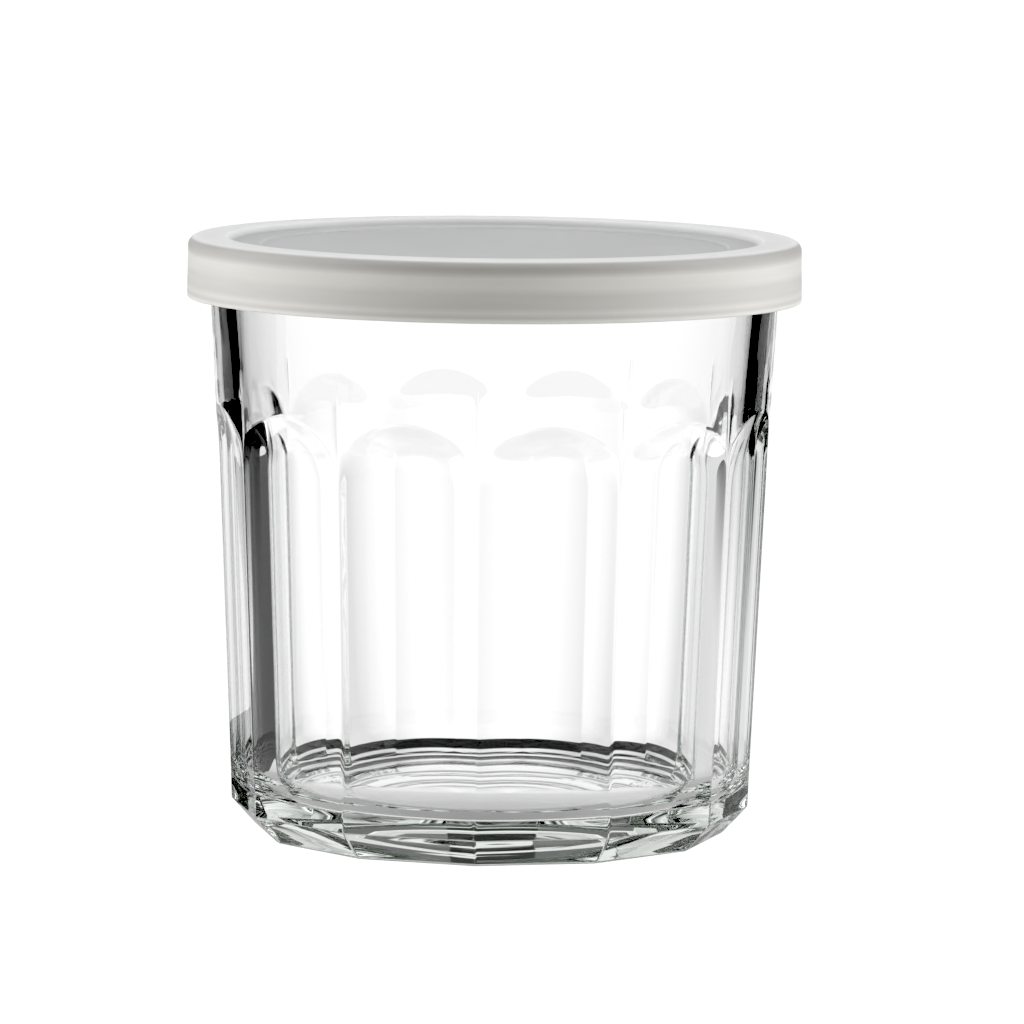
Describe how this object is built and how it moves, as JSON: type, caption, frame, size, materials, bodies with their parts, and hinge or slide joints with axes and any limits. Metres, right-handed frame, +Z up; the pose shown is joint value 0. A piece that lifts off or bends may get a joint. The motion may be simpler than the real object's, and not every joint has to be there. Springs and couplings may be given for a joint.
{
  "type": "glass storage jar",
  "caption": "Tapering storage jar of clear pressed glass with flat panels that end in arches, closed by a press-fit lid of translucent plastic.",
  "frame": {"origin": "middle of the foot, on the surface the jar stands on", "axes": "+Z up along the jar's axis; one vertical edge between two panels faces -Y"},
  "size_m": [0.0988, 0.0988, 0.0962],
  "materials": {
    "glass": "clear pressed soda-lime glass, fire-polished",
    "plastic": "natural low-density polyethylene, satin and translucent"
  },
  "bodies": {
    "root": {"jar": "glass", "lid": "plastic"}
  },
  "joints": []
}
